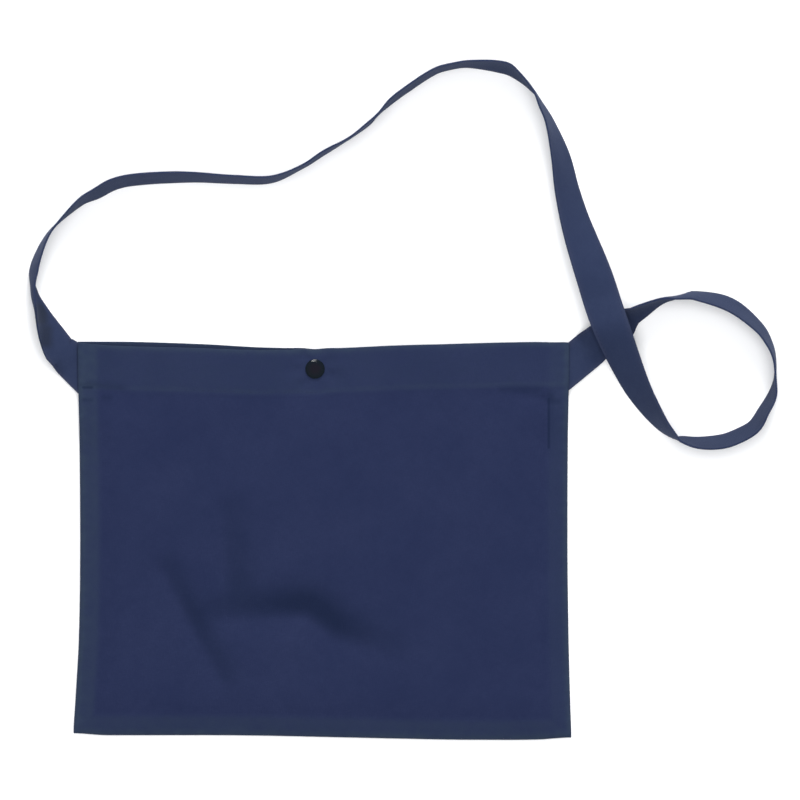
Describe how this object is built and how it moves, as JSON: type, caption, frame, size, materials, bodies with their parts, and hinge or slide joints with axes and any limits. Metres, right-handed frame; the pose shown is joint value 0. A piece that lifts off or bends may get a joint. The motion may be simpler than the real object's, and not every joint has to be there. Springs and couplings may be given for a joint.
{
  "type": "cycling musette bag",
  "caption": "Flat dark blue cotton shoulder bag with an open mouth closed by a snap, lying flat with its long fabric strap looped round it",
  "frame": {"origin": "middle of the back panel's flat underside, on the surface that the bag lies on", "axes": "+X across the bag to its right side seam, +Y up the bag to its mouth, +Z out of its front"},
  "size_m": [0.5798, 0.528, 0.0292],
  "materials": {
    "panel_cotton": "fine plain-woven cotton, dark blue, matt",
    "strap_cotton": "folded and edge-stitched cotton band, dark blue, matt",
    "snap_gloss": "glossy black enamel",
    "snap_metal": "dark lacquered metal"
  },
  "bodies": {
    "root": {"front_panel": "panel_cotton", "back_panel": "panel_cotton", "strap": "strap_cotton", "snap_cap": "snap_gloss", "snap_socket": "snap_metal", "snap_stud": "snap_metal", "snap_back_cap": "snap_gloss"}
  },
  "joints": []
}
